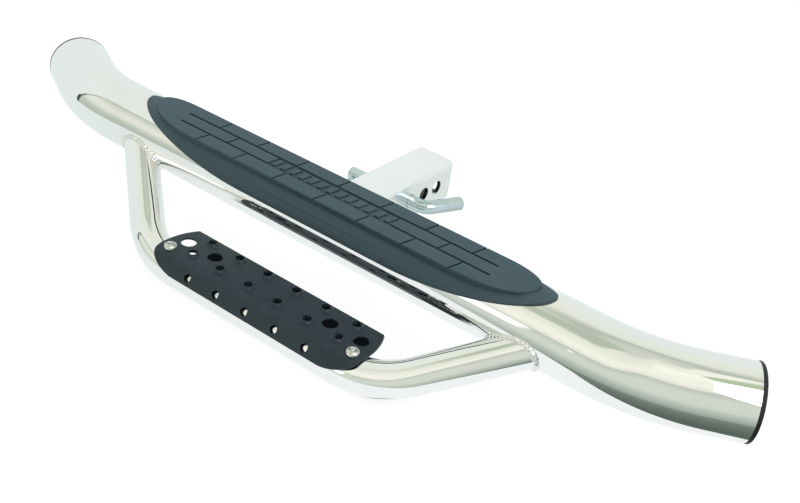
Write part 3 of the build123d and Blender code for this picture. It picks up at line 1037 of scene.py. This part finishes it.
@dataclass
class StepPlate:
    """Formed plate over the hoop with its screws and rivet nuts."""

    shop: Workshop
    edge_round: float = 0.00035
    head_radius: float = 0.0072
    head_height: float = 0.0042
    head_skirt: float = 0.0009
    dome_rim: float = 0.0036
    dome_steps: int = 8
    socket_flat: float = 0.00252
    socket_depth: float = 0.0026
    socket_chamfer: float = 0.0003
    socket_lip_share: float = 1.12
    socket_floor_share: float = 0.3
    socket_point_share: float = 1.15
    shank_radius: float = 0.0039
    shank_length: float = 0.019
    sides: int = 72
    crisp_angle: float = 40.0
    sheet: float = 0.0018
    dimple_height: float = 0.002
    flange_drop: float = 0.038
    flange_top_half: float = 0.126
    flange_foot_half: float = 0.112
    flange_corner: float = 0.006
    flange_corner_steps: int = 8

    def flange_mesh(self) -> Mesh:
        """Shape the turned-down back edge that hangs under the plate.

        Returns:
            A closed mesh with rounded lower corners.
        """
        _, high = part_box("drop_step_plate")
        top = high.z - self.dimple_height - self.sheet / 2
        low = top - self.flange_drop
        inner = self.flange_foot_half - self.flange_corner
        right = []
        for step in range(self.flange_corner_steps + 1):
            turn = math.pi / 2 * step / self.flange_corner_steps
            right.append((inner + self.flange_corner * math.cos(turn),
                          low + self.flange_corner * (1 - math.sin(turn))))
        left = [(-x, z) for x, z in reversed(right)]
        outline = [(self.flange_top_half, top), *right, *left, (-self.flange_top_half, top)]
        work = bmesh.new()
        face = work.faces.new([work.verts.new((x, high.y - self.sheet, z)) for x, z in outline])
        grown = bmesh.ops.extrude_face_region(work, geom=[face])["geom"]
        moved = [item for item in grown if isinstance(item, bmesh.types.BMVert)]
        bmesh.ops.translate(work, verts=moved, vec=BACKWARD * self.sheet)
        bmesh.ops.recalc_face_normals(work, faces=work.faces)
        return mesh_of(work, "plate_flange")

    def socket_ring(self, spot: Vector, share: float, height: float) -> list[Vector]:
        """Lay out one six-sided ring of the socket.

        Args:
            spot: Centre of the head's underside.
            share: Size of the ring as a share of the socket.
            height: Height above the underside.

        Returns:
            Points of the ring.
        """
        wedge = math.pi / 3
        ring = []
        for index in range(self.sides):
            turn = 2 * math.pi * index / self.sides
            reach = self.socket_flat / math.cos((turn % wedge) - wedge / 2) * share
            ring.append(spot + Vector((math.cos(turn) * reach, math.sin(turn) * reach, height)))
        return ring

    def head_rings(self, spot: Vector) -> list[list[Vector]]:
        """Lay out the rings of a button head from its shank to the bottom of its socket.

        Args:
            spot: Centre of the head's underside.

        Returns:
            Rings of points.
        """
        profile = [(self.shank_radius, -self.shank_length), (self.shank_radius, 0.0), (self.head_radius, 0.0),
                   (self.head_radius, self.head_skirt)]
        for step in range(1, self.dome_steps + 1):
            share = step / self.dome_steps
            distance = self.head_radius + (self.dome_rim - self.head_radius) * share
            rise = self.head_skirt + (self.head_height - self.head_skirt) * math.sqrt(1 - (1 - share) ** 2)
            profile.append((distance, rise))
        top = self.head_height
        floor = top - self.socket_depth
        point = top - self.socket_depth * self.socket_point_share
        socket = [(self.socket_lip_share, top), (1.0, top - self.socket_chamfer), (1.0, floor),
                  (self.socket_floor_share, point)]
        return [*[circle(spot + UPWARD * height, (RIGHTWARD, BACKWARD), distance, self.sides)
                  for distance, height in profile],
                *[self.socket_ring(spot, share, height) for share, height in socket]]

    def build_screw(self, node: str) -> None:
        """Turn one button head screw where its CAD node is."""
        low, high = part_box(node)
        spot = Vector(((low.x + high.x) / 2, (low.y + high.y) / 2, high.z - self.head_height))
        self.shop.turn_piece(node.replace("plate_screw", "button_screw"), self.head_rings(spot),
                             self.crisp_angle, Slot.SCREW, node)

    def build(self) -> None:
        """Refine the plate, turn its screws and dress the rivet nuts."""
        self.shop.dressed_copy("drop_step_plate", Slot.PLATE, Body.STEP, self.edge_round,
                               extra=self.flange_mesh())
        for side in ("left", "right"):
            self.build_screw(f"plate_screw_{side}")
            self.shop.paints.dress(f"rivet_nut_{side}", Slot.SCREW)


@dataclass
class ReceiverShank:
    """Square shank welded to the back of the step tube."""

    shop: Workshop
    tube: StepTube
    side: float = 0.0508
    corner: float = 0.006
    edge_round: float = 0.0004
    bead: Bead = Bead(radius=0.0030, pitch=0.0054)
    corner_points: int = 12
    side_points: int = 30

    def section(self) -> list[tuple[Vector, Vector]]:
        """Lay out the shank's rounded square section.

        Returns:
            Points in the XZ plane about the origin, each with its outward direction.
        """
        half = self.side / 2 - self.corner
        outline = []
        for quarter in range(4):
            turn = Matrix.Rotation(math.pi / 2 * quarter, 3, "Y")
            for index in range(self.side_points):
                place = half * (2 * index / self.side_points - 1)
                outline.append((turn @ Vector((place, 0.0, self.side / 2)), turn @ UPWARD))
            for index in range(self.corner_points):
                bend = math.pi / 2 * index / self.corner_points
                away = Vector((math.sin(bend), 0.0, math.cos(bend)))
                outline.append((turn @ (Vector((half, 0.0, half)) + away * self.corner), turn @ away))
        return outline

    def build_bead(self) -> None:
        """Lay the weld bead round the joint with the step tube."""
        spots = []
        for spot, from_shank in self.section():
            above = spot.z - TUBE_CENTRE.z
            reach = math.sqrt(self.tube.radius ** 2 - above ** 2)
            from_tube = Vector((0.0, reach, above)).normalized()
            joint = Vector((spot.x, TUBE_CENTRE.y + reach, spot.z))
            spots.append((joint, (from_shank + from_tube).normalized()))
        self.shop.lay_bead("shank_bead", spots, self.bead, "shank_weld")

    def build(self) -> None:
        """Refine the shank and lay its bead."""
        self.shop.dressed_copy("receiver_shank", Slot.SHANK, Body.STEP, self.edge_round)
        self.build_bead()


# Ends and corners of the clip's wire: distance towards the step and drop below the pin's axis
CLIP_WIRE = ((-0.01395, 0.0), (0.02595, 0.0), (0.02595, 0.0124), (0.01255, 0.0062), (0.0016, 0.01015),
             (-0.0104, 0.01305))


@dataclass
class HitchPin:
    """Bent hitch pin and the spring clip through its end."""

    shop: Workshop
    edge_round: float = 0.0004
    axis_y: float = -0.0254
    clip_x: float = -0.0525
    wire_radius: float = 0.0016
    sides: int = 32
    loop_radius: float = 0.0054
    bow_radius: float = 0.005
    arc_step: float = math.radians(5.0)
    run_step: float = 0.004
    tip_bluntness: float = 0.6

    def build_clip(self) -> None:
        """Bend the spring clip with rounded ends."""
        corners = [Vector((self.clip_x, self.axis_y - away, -below)) for away, below in CLIP_WIRE]
        radii = [self.loop_radius, self.loop_radius, self.bow_radius, self.bow_radius]
        route = bent_route(corners, radii, self.arc_step, self.run_step)
        round_shares = (0.0, 0.12, 0.3, 0.5)
        first = (route[1] - route[0]).normalized()
        last = (route[-2] - route[-1]).normalized()
        starts = [route[0] + first * self.wire_radius * share for share in round_shares]
        ends = [route[-1] + last * self.wire_radius * share for share in reversed(round_shares)]
        shares = [math.sqrt(1 - (1 - share / round_shares[-1]) ** 2 * self.tip_bluntness)
                  for share in round_shares]
        points = [*starts, *route[1:-1], *ends]
        taper = [*shares, *[1.0] * len(route[1:-1]), *reversed(shares)]
        clip = self.shop.bend_bar(path_mesh("spring_clip", points, taper=taper), self.wire_radius, self.sides,
                                  Slot.ZINC, closed_ends=True)
        hand_over(clip, Body.CLIP, ["pin_clip"])

    def build(self) -> None:
        """Refine the pin and bend its clip."""
        self.shop.dressed_copy("hitch_pin", Slot.ZINC, Body.PIN, self.edge_round)
        self.build_clip()


# Studio and camera

@dataclass
class PhotoCamera:
    """Camera at the photograph's viewing angle, in degrees, metres and millimetres of lens."""

    azimuth: float = 31.83
    elevation: float = 31.25
    roll: float = 9.37
    distance: float = 1.09016
    lens: float = 48.262
    sensor: float = 36.0
    target: Triple = (0.09254, -0.1388, 0.01242)

    def build(self) -> None:
        """Place the camera and make it the scene's own."""
        angles = (self.azimuth, self.elevation, self.roll)
        azimuth, elevation, roll = (math.radians(angle) for angle in angles)
        back = Vector((math.sin(azimuth) * math.cos(elevation), -math.cos(azimuth) * math.cos(elevation),
                       math.sin(elevation)))
        level = Vector((math.cos(azimuth), math.sin(azimuth), 0.0))
        upright = back.cross(level)
        right = level * math.cos(roll) + upright * math.sin(roll)
        up = upright * math.cos(roll) - level * math.sin(roll)
        data = bpy.data.cameras.new("photo_camera")
        data.sensor_fit = "HORIZONTAL"
        data.sensor_width = self.sensor
        data.lens = self.lens
        camera = bpy.data.objects.new("photo_camera", data)
        turn = Matrix((right, up, back)).transposed().to_4x4()
        camera.matrix_world = Matrix.Translation(Vector(self.target) + back * self.distance) @ turn
        bpy.context.scene.collection.objects.link(camera)
        bpy.context.scene.camera = camera


class Outlook:
    """Directions out of the object, as bearings from the front towards the right and tilts above level."""

    def __init__(self, sheet: NodeSheet) -> None:
        """Work out the bearing and the tilt, in degrees, on a world sheet."""
        self.sheet = sheet
        direction = sheet.add("ShaderNodeTexCoord").outputs["Generated"]
        parts = sheet.add("ShaderNodeSeparateXYZ", {"Vector": direction}).outputs
        towards_front = sheet.math("MULTIPLY", parts["Y"], -1.0)
        self.bearing = sheet.math("DEGREES", sheet.math("ARCTAN2", parts["X"], towards_front))
        self.tilt = sheet.math("DEGREES", sheet.math("ARCSINE", parts["Z"]))

    def above(self, value: Socket, limit: float, soft: float) -> Socket:
        """Return a mask that is 1 where a value passes a limit."""
        return self.sheet.spread(value, (limit - soft, limit + soft))

    def between(self, value: Socket, limits: Span, soft: float) -> Socket:
        """Return a mask that is 1 where a value lies between two limits."""
        past_low = self.above(value, limits[0], soft)
        past_high = self.above(value, limits[1], soft)
        return self.sheet.math("SUBTRACT", past_low, past_high)

    def ramp(self, angle: Socket, stops: Sequence[tuple[float, Colour]]) -> Socket:
        """Colour the room by an angle.

        Args:
            angle: Angle in degrees, from straight down to straight up.
            stops: Angles with their colours.

        Returns:
            The colour socket.
        """
        down = -90.0
        up = 90.0
        middle = 0.5
        share = self.sheet.add("ShaderNodeMapRange", {"Value": angle, "From Min": down, "From Max": up})
        node = self.sheet.add("ShaderNodeValToRGB", {"Fac": share.outputs["Result"]})
        elements = node.color_ramp.elements
        while len(elements) < len(stops):
            elements.new(middle)
        for element, (level, colour) in zip(elements, stops):
            element.position = (level - down) / (up - down)
            element.color = opaque(colour)
        return node.outputs["Color"]


@dataclass(frozen=True)
class Patch:
    """Card, lamp or dark edge of the room, between two bearings and two tilts."""

    bearing: Span
    tilt: Span
    colour: Colour
    soft: float = 0.5
    lean: float = 0.0

    def over(self, outlook: Outlook, colour: Socket) -> Socket:
        """Lay the patch over the colour of the room.

        Args:
            outlook: Directions on the world sheet.
            colour: Colour of the room so far.

        Returns:
            The colour with the patch.
        """
        sheet = outlook.sheet
        slid = sheet.math("SUBTRACT", outlook.bearing, sheet.math("MULTIPLY", outlook.tilt, self.lean))
        mask = sheet.math("MULTIPLY", outlook.between(slid, self.bearing, self.soft),
                          outlook.between(outlook.tilt, self.tilt, self.soft))
        return sheet.mix(mask, colour, opaque(self.colour))


# Tones of the sweep and of the room, by tilt in degrees
SWEEP_TONES = ((-60.0, (0.81, 0.88, 0.86)), (-5.0, (0.82, 0.885, 0.875)), (30.0, (0.84, 0.89, 0.87)),
               (55.0, (0.84, 0.88, 0.79)), (66.0, (0.82, 0.85, 0.74)), (73.5, (0.49, 0.55, 0.47)),
               (79.0, (0.60, 0.66, 0.56)), (88.0, (0.69, 0.72, 0.64)))
ROOM_HIGH_TONES = ((5.0, (0.70, 0.74, 0.68)), (18.0, (0.56, 0.61, 0.54)), (22.0, (0.88, 0.88, 0.78)),
                   (34.0, (0.98, 0.99, 0.89)), (50.0, (0.88, 0.90, 0.79)), (66.0, (0.84, 0.87, 0.75)),
                   (76.0, (0.69, 0.72, 0.64)))
ROOM_LOW_TONES = ((-65.0, (0.105, 0.140, 0.118)), (-45.0, (0.155, 0.195, 0.170)), (-32.5, (0.20, 0.26, 0.22)),
                  (-29.5, (0.34, 0.41, 0.36)), (-20.0, (0.45, 0.52, 0.46)), (-12.0, (0.54, 0.61, 0.54)),
                  (-5.0, (0.66, 0.71, 0.64)), (5.0, (0.70, 0.74, 0.68)))
ALCOVE_TONES = ((-18.0, (0.47, 0.54, 0.47)), (-3.0, (0.52, 0.58, 0.51)), (1.0, (0.58, 0.64, 0.56)),
                (5.0, (0.68, 0.73, 0.64)), (11.0, (0.81, 0.84, 0.74)), (17.0, (0.84, 0.86, 0.75)),
                (24.0, (0.72, 0.76, 0.67)), (31.0, (0.60, 0.66, 0.57)))
# Tones of the table, with a painted shade behind the step and a painted shadow under the plate
TABLE_LEFT_TONE = (0.81, 0.88, 0.865)
TABLE_RIGHT_TONE = (0.93, 0.97, 0.98)
# Painted shadow of the plate on the table
TABLE_PAINTED_SHADOW_TONE = (0.03, 0.032, 0.033)
# Painted shade on the table behind the step
TABLE_PAINTED_SHADE_TONE = (0.72, 0.78, 0.735)
# Cards, lamps and dark edges, laid over the room in this order
PATCHES = (Patch((-62.0, -20.0), (57.0, 78.0), (0.49, 0.56, 0.46), soft=4.0),
           Patch((16.0, 64.0), (58.0, 75.0), (1.02, 1.02, 0.92), soft=5.0),
           Patch((62.0, 128.0), (72.8, 81.0), (0.95, 0.965, 0.85), soft=1.5),
           Patch((-57.5, -40.0), (31.2, 32.8), (0.46, 0.53, 0.45), soft=0.5),
           Patch((-64.7, -63.3), (12.0, 29.0), (0.36, 0.43, 0.37), soft=0.4, lean=0.2),
           Patch((-64.9, -63.1), (2.0, 12.0), (0.19, 0.25, 0.22), soft=0.4, lean=0.2),
           Patch((-65.4, -63.1), (-14.5, 2.0), (0.06, 0.09, 0.085), soft=0.4, lean=0.2),
           Patch((64.0, 92.0), (64.5, 72.8), (0.50, 0.60, 0.43)),
           Patch((46.4, 100.0), (27.0, 43.0), (2.4, 2.4, 2.4)),
           Patch((29.9, 80.0), (42.0, 51.0), (2.4, 2.4, 2.4), lean=0.39),
           Patch((18.4, 70.0), (50.0, 61.5), (2.4, 2.4, 2.4), lean=0.62),
           Patch((59.5, 100.0), (60.5, 65.0), (2.4, 2.4, 2.4)),
           Patch((-36.0, -19.6), (4.0, 17.0), (1.5, 1.5, 1.5)),
           Patch((-16.65, -16.2), (11.0, 13.6), (1.2, 1.2, 1.2), soft=0.15),
           Patch((108.0, 152.0), (-12.0, 3.0), (0.16, 0.18, 0.16), soft=1.5))


@dataclass
class Studio:
    """White sweep with a softly lit room on the camera's side, a pale floor and one soft key light."""

    floor_half: float = 4.0
    floor_gap: float = 0.0005
    floor_glow: float = 0.80
    floor_albedo: float = 0.26
    floor_cloud_scale: float = 3.0
    floor_cloud_gain: float = 1.02
    key_power: float = 14.0
    key_size: float = 1.6
    key_place: Triple = (-0.4, 0.0, 2.0)
    right_edge_heading: float = 39.0
    right_edge_reach: float = 0.398
    left_edge_heading: float = -51.0
    left_edge_reach: float = 0.80
    tone_change_x: Span = (-0.35, 0.15)
    # Where the painted shade behind the step lies
    shade_place: Triple = (0.10, 0.12, -0.0854)
    shade_reach: Span = (0.13, 0.26)
    # Where the painted shadow under the plate lies
    plate_shade_y: float = -0.226
    plate_shade_depth: Span = (0.018, 0.024)
    plate_shade_width: Span = (0.15, 0.18)

    def room_colour(self, outlook: Outlook) -> Socket:
        """Colour the room as polished metal shows it.

        Args:
            outlook: Directions on the world sheet.

        Returns:
            The colour of each direction.
        """
        sheet = outlook.sheet
        left_edge = -64.0
        left_soft = 0.3
        edge_lean = 0.2
        right_edge = 78.0
        right_soft = 12.0
        low_right_edge = 128.0
        low_right_tilts = (-25.0, -10.0)
        room_middle = 5.0
        middle_soft = 2.0
        alcove_edge = -37.0
        alcove_soft = 4.0
        alcove_top = 32.0
        alcove_top_soft = 0.4
        left_bearings = (-45.0, -18.0)
        left_lift = (-13.0, 0.0)
        right_bearings = (-5.0, 15.0)
        right_lift = (0.0, 16.0)
        lifted = sheet.math("ADD", sheet.spread(outlook.bearing, left_bearings, left_lift),
                            sheet.spread(outlook.bearing, right_bearings, right_lift))
        high = outlook.ramp(sheet.math("SUBTRACT", outlook.tilt, lifted), ROOM_HIGH_TONES)
        low = outlook.ramp(outlook.tilt, ROOM_LOW_TONES)
        room = sheet.mix(outlook.above(outlook.tilt, room_middle, middle_soft), low, high)
        out_of_alcove = outlook.above(outlook.bearing, alcove_edge, alcove_soft)
        room = sheet.mix(out_of_alcove, outlook.ramp(outlook.tilt, ALCOVE_TONES), room)
        leaning = sheet.math("SUBTRACT", outlook.bearing, sheet.math("MULTIPLY", outlook.tilt, edge_lean))
        widened = sheet.spread(outlook.tilt, low_right_tilts, (low_right_edge - right_edge, 0.0))
        past_right = outlook.above(sheet.math("SUBTRACT", outlook.bearing, widened), right_edge, right_soft)
        in_room = sheet.math("SUBTRACT", outlook.above(leaning, left_edge, left_soft), past_right)
        over_alcove = sheet.math("MULTIPLY", outlook.above(outlook.tilt, alcove_top, alcove_top_soft),
                                 sheet.math("SUBTRACT", 1.0, out_of_alcove))
        in_room = sheet.math("MULTIPLY", in_room, sheet.math("SUBTRACT", 1.0, over_alcove))
        colour = sheet.mix(in_room, outlook.ramp(outlook.tilt, SWEEP_TONES), room)
        for patch in PATCHES:
            colour = patch.over(outlook, colour)
        return colour

    def build_world(self) -> None:
        """Build the white backdrop and the room that polished metal shows."""
        world = bpy.data.worlds.new("studio")
        bpy.context.scene.world = world
        world.use_nodes = True
        world.node_tree.nodes.clear()
        sheet = NodeSheet(world.node_tree)
        colour = self.room_colour(Outlook(sheet))
        seen = sheet.add("ShaderNodeLightPath").outputs["Is Camera Ray"]
        shown = sheet.mix(seen, colour, opaque((1.0, 1.0, 1.0)))
        light = sheet.add("ShaderNodeBackground", {"Color": shown, "Strength": 1.0})
        sheet.add("ShaderNodeOutputWorld", {"Surface": light.outputs["Background"]})

    def beyond(self, sheet: NodeSheet, place: Socket, heading: float,
               reach: float) -> Socket:
        """Return a mask that is 1 past a straight edge of the table.

        Args:
            sheet: Sheet of the floor's material.
            place: Place on the floor.
            heading: Bearing of the edge from the part's origin, in degrees.
            reach: Distance of the edge from the origin.

        Returns:
            The mask.
        """
        turn = math.radians(heading)
        forward = (math.sin(turn), -math.cos(turn), 0.0)
        along = sheet.add("ShaderNodeVectorMath", {0: place, 1: forward}, operation="DOT_PRODUCT")
        return sheet.math("GREATER_THAN", along.outputs["Value"], reach)

    def table_shader(self, sheet: NodeSheet, place: Socket) -> Socket:
        """Build what polished metal shows of the table, up to its two near edges, with a painted shade behind
        the step and a painted shadow under the plate.

        Args:
            sheet: Sheet of the floor's material.
            place: Place on the floor.

        Returns:
            The shader socket.
        """
        parts = sheet.add("ShaderNodeSeparateXYZ", {"Vector": place}).outputs
        tone = sheet.mix(sheet.spread(parts["X"], self.tone_change_x), opaque(TABLE_LEFT_TONE),
                         opaque(TABLE_RIGHT_TONE))
        # Painted shade: the table darkens round a spot behind the step, standing in for shade
        from_shade = sheet.add("ShaderNodeVectorMath", {0: place, 1: self.shade_place}, operation="DISTANCE")
        shade = sheet.spread(from_shade.outputs["Value"], self.shade_reach, FADING)
        tone = sheet.mix(shade, tone, opaque(TABLE_PAINTED_SHADE_TONE))
        # Painted shadow: the table turns nearly black in a strip under the plate, standing in for its shadow
        from_plate = sheet.math("ABSOLUTE", sheet.math("SUBTRACT", parts["Y"], self.plate_shade_y))
        aside = sheet.math("ABSOLUTE", parts["X"])
        painted_plate_shadow = sheet.math("MULTIPLY", sheet.spread(from_plate, self.plate_shade_depth, FADING),
                                 sheet.spread(aside, self.plate_shade_width, FADING))
        tone = sheet.mix(painted_plate_shadow, tone, opaque(TABLE_PAINTED_SHADOW_TONE))
        shown = sheet.add("ShaderNodeEmission", {"Color": tone, "Strength": 1.0}).outputs["Emission"]
        gone = sheet.add("ShaderNodeBsdfTransparent").outputs["BSDF"]
        off = sheet.math("MAXIMUM", self.beyond(sheet, place, self.right_edge_heading, self.right_edge_reach),
                         self.beyond(sheet, place, self.left_edge_heading, self.left_edge_reach))
        return sheet.add("ShaderNodeMixShader", {0: off, 1: shown, 2: gone}).outputs["Shader"]

    def floor_material(self) -> Material:
        """Build the floor's material, which keeps the shadow and stays white to the camera.

        Returns:
            The material.
        """
        material = bpy.data.materials.new("pale_floor")
        material.use_nodes = True
        material.cycles.emission_sampling = "NONE"
        material.node_tree.nodes.clear()
        sheet = NodeSheet(material.node_tree)
        place = sheet.add("ShaderNodeTexCoord").outputs["Object"]
        tone = sheet.mix(sheet.noise(place, self.floor_cloud_scale), opaque((self.floor_albedo,) * 3),
                         opaque((self.floor_albedo * self.floor_cloud_gain,) * 3))
        matt = sheet.add("ShaderNodeBsdfDiffuse", {"Color": tone})
        path = sheet.add("ShaderNodeLightPath").outputs
        seen_glow = sheet.math("MULTIPLY", path["Is Camera Ray"], self.floor_glow)
        glow = sheet.add("ShaderNodeEmission", {"Strength": seen_glow})
        floor = sheet.add("ShaderNodeAddShader", {0: matt.outputs["BSDF"], 1: glow.outputs["Emission"]})
        both = sheet.add("ShaderNodeMixShader", {0: path["Is Glossy Ray"], 1: floor.outputs["Shader"],
                                                 2: self.table_shader(sheet, place)})
        sheet.add("ShaderNodeOutputMaterial", {"Surface": both.outputs["Shader"]})
        return material

    def build_floor(self) -> None:
        """Lay the pale floor under the part."""
        low = CAD_BOX[0].z - self.floor_gap
        half = self.floor_half
        mesh = bpy.data.meshes.new("studio_floor")
        mesh.from_pydata([(-half, -half, low), (half, -half, low), (half, half, low), (-half, half, low)], [],
                         [(0, 1, 2, 3)])
        mesh.materials.append(self.floor_material())
        add_object(mesh)

    def build_key(self) -> None:
        """Hang one large soft light above the part, to the left."""
        data = bpy.data.lights.new("key_light", "AREA")
        data.shape = "DISK"
        data.size = self.key_size
        data.energy = self.key_power
        light = bpy.data.objects.new("key_light", data)
        place = Vector(self.key_place)
        aim = (place - TUBE_CENTRE).to_track_quat("Z", "Y").to_matrix().to_4x4()
        light.matrix_world = Matrix.Translation(place) @ aim
        light.visible_glossy = False
        bpy.context.scene.collection.objects.link(light)

    def build(self) -> None:
        """Build the world, the floor and the light."""
        bpy.context.scene.view_settings.view_transform = "Standard"
        self.build_world()
        self.build_floor()
        self.build_key()


def write_sizes() -> None:
    """Update the view layer."""
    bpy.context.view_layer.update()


def main() -> None:
    """Build the camera, the studio and every sub-assembly."""
    logging.basicConfig(level=logging.INFO, format="%(name)s: %(message)s")
    PhotoCamera().build()
    shop = Workshop()
    tube = StepTube(shop)
    assemblies = [tube, TreadPad(shop), DropHoop(shop, tube), StepPlate(shop), ReceiverShank(shop, tube),
                  HitchPin(shop)]
    for assembly in assemblies:
        assembly.build()
    write_sizes()
    Studio().build()


if __name__ == "__main__":
    main()
